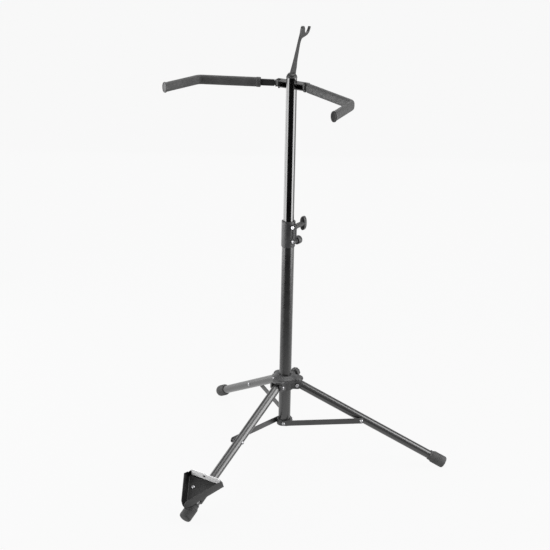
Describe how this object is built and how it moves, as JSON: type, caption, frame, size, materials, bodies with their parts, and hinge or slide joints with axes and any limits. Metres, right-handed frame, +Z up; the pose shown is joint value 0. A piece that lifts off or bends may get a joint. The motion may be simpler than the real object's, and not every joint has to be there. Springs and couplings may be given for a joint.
{
  "type": "folding instrument stand",
  "caption": "Folding tripod stand for a large upright string instrument, with height-adjustable mast, padded arms, spike tray and bow hook.",
  "frame": {"origin": "the point on the floor under the axis of the column", "axes": "+Z up along the column, the front leg with its tray points along -Y, +X to the stand's right seen from the front"},
  "size_m": [0.8444, 0.7385, 1.2881],
  "materials": {
    "black_plastic": "fine texture",
    "black_rubber": "matte",
    "black_steel": "satin",
    "end_cap_plastic": "satin",
    "floor_rubber": "matte",
    "gloss_black_tube": "gloss",
    "hook_plastic": "matte",
    "knob_plastic": "matte",
    "pale_plate": "satin",
    "satin_black_leg": "satin",
    "satin_black_tube": "satin",
    "sleeve_foam": "matte, soft",
    "spacer_plastic": "matte",
    "strut_steel": "satin",
    "zinc_fastener": "bright zinc"
  },
  "bodies": {
    "column": {"lower_tube": "satin_black_tube", "strut_spider": "black_plastic", "strut_inner_bolts": "zinc_fastener", "clamp_collar": "black_plastic", "clamp_nut": "zinc_fastener", "collar_anchor_bolt": "zinc_fastener", "collar_cap_nut": "black_plastic"},
    "clamp_knob": {"clamp_knob": "knob_plastic", "clamp_screw": "zinc_fastener"},
    "hub": {"sliding_hub": "black_plastic", "leg_pivot_bolts": "zinc_fastener", "leg_pivot_nuts": "zinc_fastener"},
    "hub_knob": {"hub_lock_knob": "knob_plastic", "hub_lock_screw": "zinc_fastener"},
    "guide": {"guide_bush": "black_plastic"},
    "mast": {"upper_tube": "gloss_black_tube", "tube_plug": "black_plastic", "cross_bracket": "black_steel", "bracket_screws": "zinc_fastener", "arm_pivot_bolts": "black_steel", "arm_pivot_nuts": "zinc_fastener"},
    "bow_hook": {"bow_hook": "hook_plastic"},
    "tray": {"tray_plate": "black_steel", "tray_back_plate": "pale_plate", "tray_floor_pad": "floor_rubber", "tray_clamp": "black_steel", "tray_bolt": "zinc_fastener", "tray_nut": "zinc_fastener", "tray_rivet": "zinc_fastener"},
    "front_leg": {"front_leg_tube": "satin_black_leg", "front_leg_fitting": "black_plastic", "front_foot": "black_rubber", "front_strut_bolt": "zinc_fastener", "front_strut_spacer": "spacer_plastic"},
    "front_strut": {"front_strut": "strut_steel", "front_strut_rivet": "zinc_fastener"},
    "right_leg": {"right_leg_tube": "satin_black_leg", "right_leg_fitting": "black_plastic", "right_foot": "black_rubber", "right_strut_bolt": "zinc_fastener", "right_strut_spacer": "spacer_plastic"},
    "right_strut": {"right_strut": "strut_steel", "right_strut_rivet": "zinc_fastener"},
    "left_leg": {"left_leg_tube": "satin_black_leg", "left_leg_fitting": "black_plastic", "left_foot": "black_rubber", "left_strut_bolt": "zinc_fastener", "left_strut_spacer": "spacer_plastic"},
    "left_strut": {"left_strut": "strut_steel", "left_strut_rivet": "zinc_fastener"},
    "left_arm": {"left_arm_bar": "black_steel", "left_arm_sleeve": "sleeve_foam", "left_arm_end_cap": "end_cap_plastic"},
    "right_arm": {"right_arm_bar": "black_steel", "right_arm_sleeve": "sleeve_foam", "right_arm_end_cap": "end_cap_plastic"}
  },
  "joints": [
    {"name": "hub_slide", "type": "slide", "parent": "column", "child": "hub", "axis": [0, 0, 1], "range_m": [0, 0.3139]},
    {"name": "front_leg_pivot", "type": "hinge", "parent": "hub", "child": "front_leg", "pos_m": [0, -0.037, 0.247], "axis": [1, 0, 0], "range_deg": [0, 57.13]},
    {"name": "front_strut_pivot", "type": "hinge", "parent": "column", "child": "front_strut", "pos_m": [0, 0, 0.1232], "axis": [-1, 0, 0], "range_deg": [0, 70.57]},
    {"name": "right_leg_pivot", "type": "hinge", "parent": "hub", "child": "right_leg", "pos_m": [0.03204, 0.0185, 0.247], "axis": [-0.5, 0.866, 0], "range_deg": [0, 57.13]},
    {"name": "right_strut_pivot", "type": "hinge", "parent": "column", "child": "right_strut", "pos_m": [0, 0, 0.1232], "axis": [0.5, -0.866, 0], "range_deg": [0, 70.57]},
    {"name": "left_leg_pivot", "type": "hinge", "parent": "hub", "child": "left_leg", "pos_m": [-0.03204, 0.0185, 0.247], "axis": [-0.5, -0.866, 0], "range_deg": [0, 57.13]},
    {"name": "left_strut_pivot", "type": "hinge", "parent": "column", "child": "left_strut", "pos_m": [0, 0, 0.1232], "axis": [0.5, 0.866, 0], "range_deg": [0, 70.57]},
    {"name": "hub_knob_turn", "type": "hinge", "parent": "hub", "child": "hub_knob", "pos_m": [0, 0.04, 0.26], "axis": [0, 1, 0], "range_deg": [0, 540]},
    {"name": "clamp_knob_turn", "type": "hinge", "parent": "column", "child": "clamp_knob", "pos_m": [0.0215, 0.037, 0.732], "axis": [0, 1, 0], "range_deg": [0, 540]},
    {"name": "mast_height", "type": "slide", "parent": "column", "child": "guide", "axis": [0, 0, 1], "range_m": [-0.25, 0.12]},
    {"name": "mast_turn", "type": "hinge", "parent": "guide", "child": "mast", "pos_m": [0, 0, 1.1346], "axis": [0, 0, 1], "continuous": true},
    {"name": "left_arm_swing", "type": "hinge", "parent": "mast", "child": "left_arm", "pos_m": [-0.04226, 0.00016, 1.1346], "axis": [0, 0, 1], "range_deg": [-25, 42]},
    {"name": "right_arm_swing", "type": "hinge", "parent": "mast", "child": "right_arm", "pos_m": [0.04203, 0.00443, 1.1346], "axis": [0, 0, -1], "range_deg": [-25, 42]},
    {"name": "hook_swivel", "type": "hinge", "parent": "mast", "child": "bow_hook", "pos_m": [0, 0, 1.159], "axis": [0, 0, 1], "range_deg": [-90, 90]},
    {"name": "tray_slide", "type": "slide", "parent": "front_leg", "child": "tray", "axis": [0, 0.8824, 0.4705], "range_m": [-0.012, 0.105]}
  ],
  "couplings": [
    {"joint": "front_leg_pivot", "follows": "hub_slide", "rad_per_m": 3.1656},
    {"joint": "front_strut_pivot", "follows": "hub_slide", "rad_per_m": 3.9128},
    {"joint": "right_leg_pivot", "follows": "hub_slide", "rad_per_m": 3.1656},
    {"joint": "right_strut_pivot", "follows": "hub_slide", "rad_per_m": 3.9128},
    {"joint": "left_leg_pivot", "follows": "hub_slide", "rad_per_m": 3.1656},
    {"joint": "left_strut_pivot", "follows": "hub_slide", "rad_per_m": 3.9128}
  ]
}
